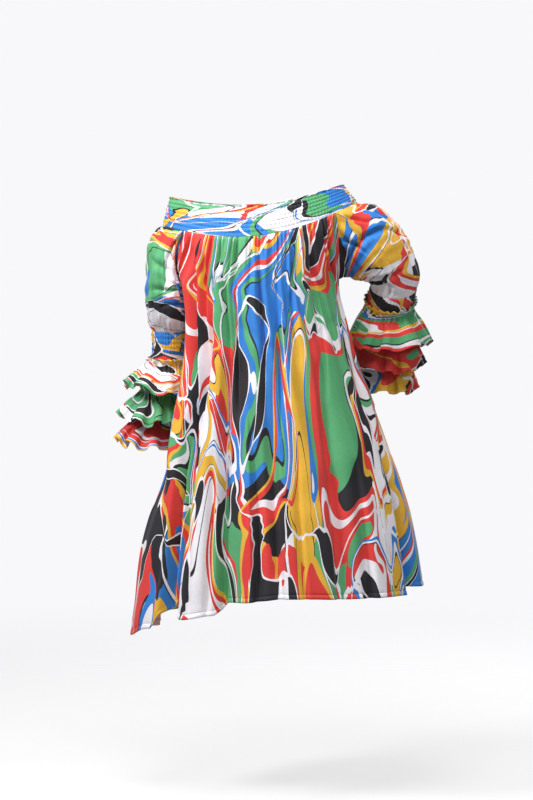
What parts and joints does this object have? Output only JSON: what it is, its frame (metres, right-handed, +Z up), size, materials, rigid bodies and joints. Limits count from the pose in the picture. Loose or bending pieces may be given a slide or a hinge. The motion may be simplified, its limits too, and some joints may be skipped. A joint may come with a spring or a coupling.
{
  "type": "off-shoulder dress",
  "caption": "Off-shoulder tent dress in printed cotton, hollow as worn, with a shirred neckband, puffed sleeves, shirred cuffs and tiered ruffles",
  "frame": {"origin": "The middle of the neckband's lower ring, level between the two shoulders, where the wearer holds the dress up", "axes": "+Z up, +Y out of the back of the dress, +X towards the wearer's left"},
  "size_m": [0.7563, 0.5018, 1.04],
  "materials": {
    "printed_cotton": "plain-weave printed cotton, light sheen",
    "shirred_cotton": "printed cotton shirred on elastic thread",
    "ruffle_cotton": "printed cotton, gathered into ruffles with turned hems"
  },
  "bodies": {
    "root": {"neckband": "shirred_cotton", "back_panel": "printed_cotton", "front_panel": "printed_cotton", "sleeve_left": "printed_cotton", "cuff_left": "shirred_cotton", "ruffle_left_1": "ruffle_cotton", "ruffle_left_2": "ruffle_cotton", "ruffle_left_3": "ruffle_cotton", "sleeve_right": "printed_cotton", "cuff_right": "shirred_cotton", "ruffle_right_1": "ruffle_cotton", "ruffle_right_2": "ruffle_cotton", "ruffle_right_3": "ruffle_cotton"}
  },
  "joints": []
}
